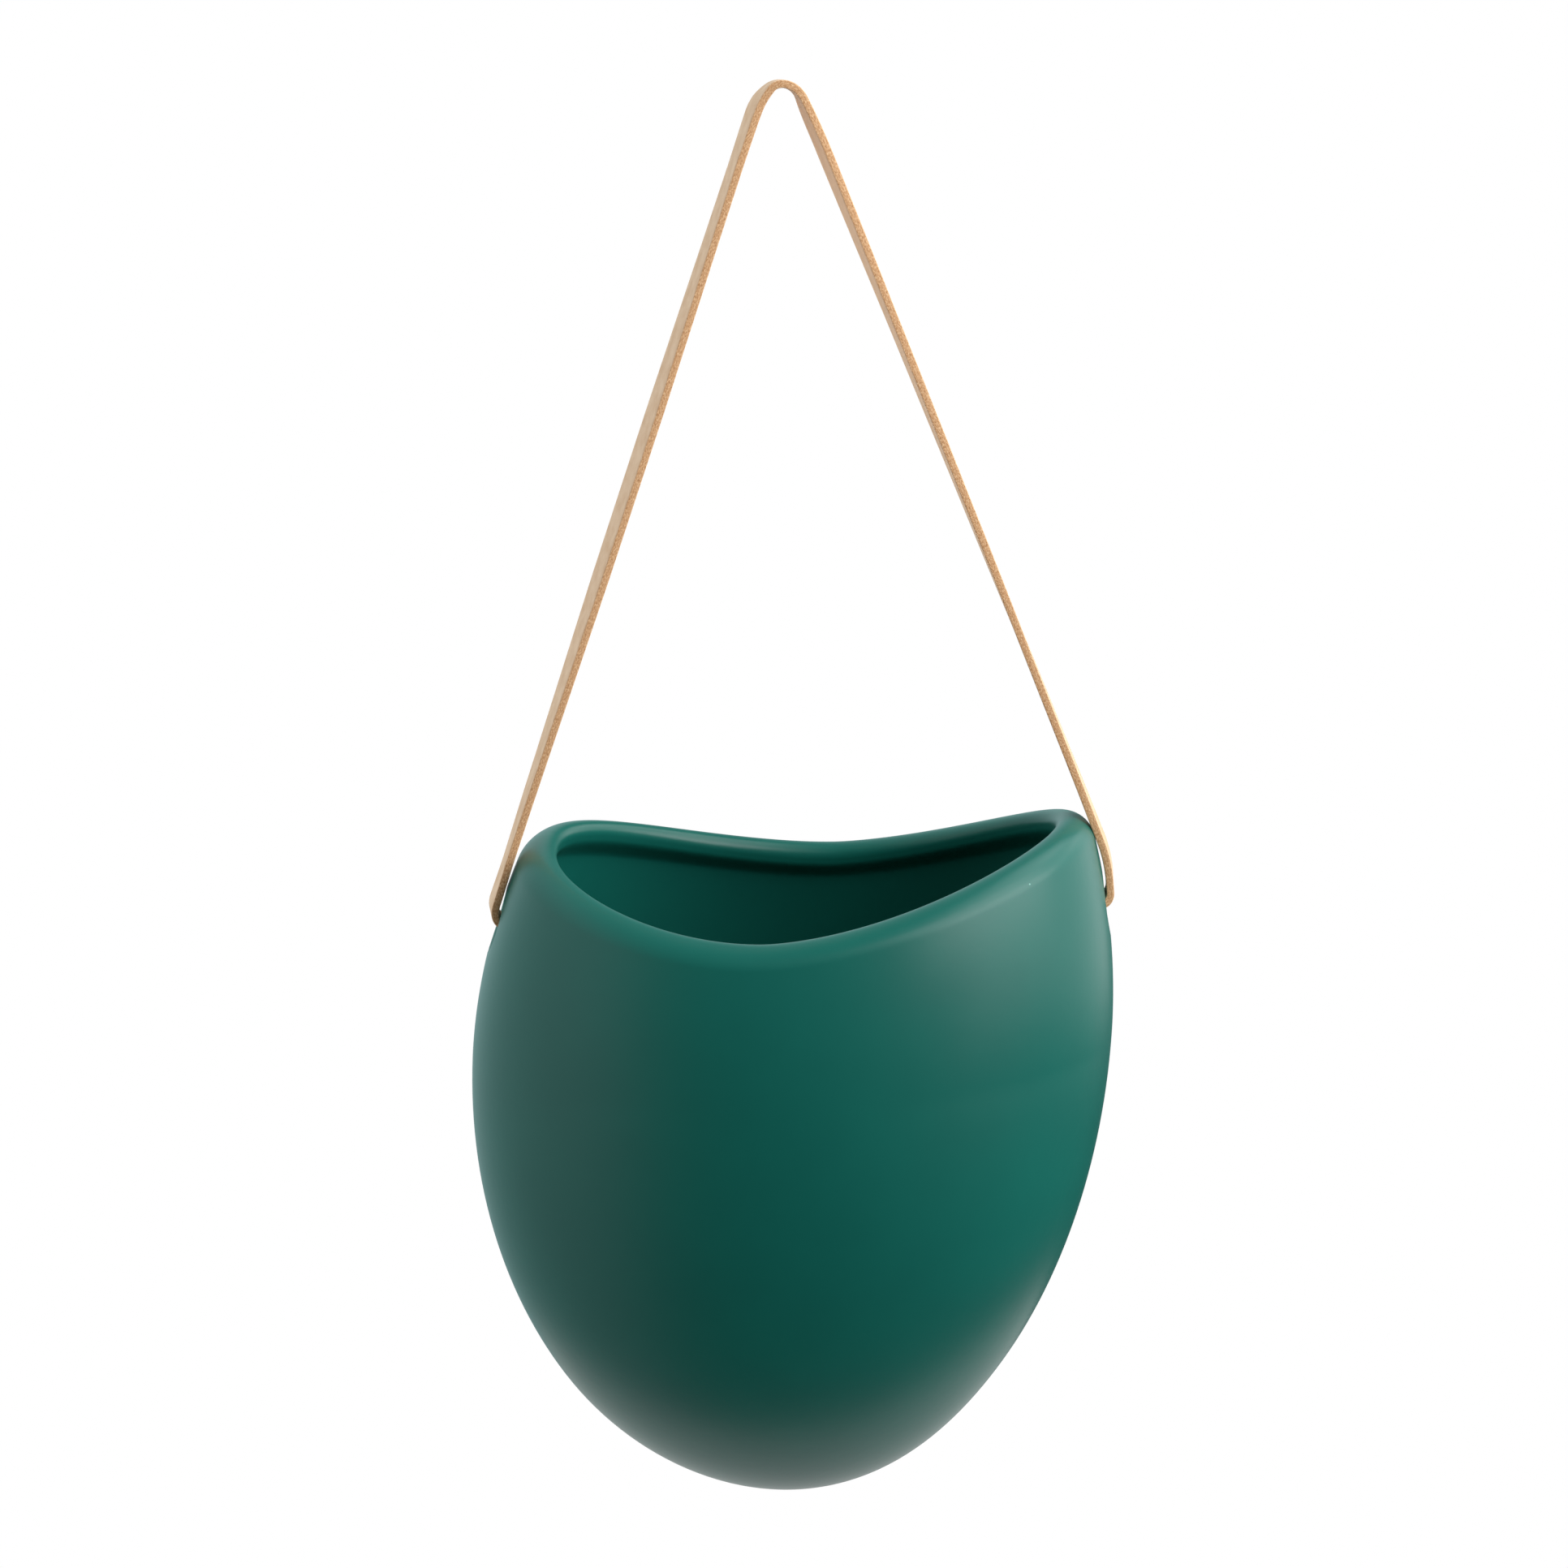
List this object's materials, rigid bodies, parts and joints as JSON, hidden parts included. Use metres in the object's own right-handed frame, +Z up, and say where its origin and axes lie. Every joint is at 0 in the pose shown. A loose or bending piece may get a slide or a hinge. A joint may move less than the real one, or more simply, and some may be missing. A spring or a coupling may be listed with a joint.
{
  "type": "hanging planter",
  "caption": "Lopsided egg-shaped ceramic pot with a saddle-shaped mouth, hung from a leather strap over a peg.",
  "frame": {"origin": "centre of the bend at the top of the strap, where the peg or hook sits", "axes": "+X to the right and +Y to the back as the picture shows it, +Z up along the height"},
  "size_m": [0.1927, 0.139, 0.4234],
  "materials": {
    "glaze": "satin",
    "leather": "matte",
    "brass": "satin"
  },
  "bodies": {
    "strap": {"strap": "leather", "washer_left": "brass", "washer_right": "brass", "post_left": "brass", "post_right": "brass", "screw_left": "brass", "screw_right": "brass"},
    "pot": {"pot": "glaze"}
  },
  "joints": [
    {"name": "pot_swing", "type": "hinge", "parent": "strap", "child": "pot", "pos_m": [0, 0, -0.2363], "axis": [1, 0, 0], "range_deg": [-30, 30]}
  ]
}
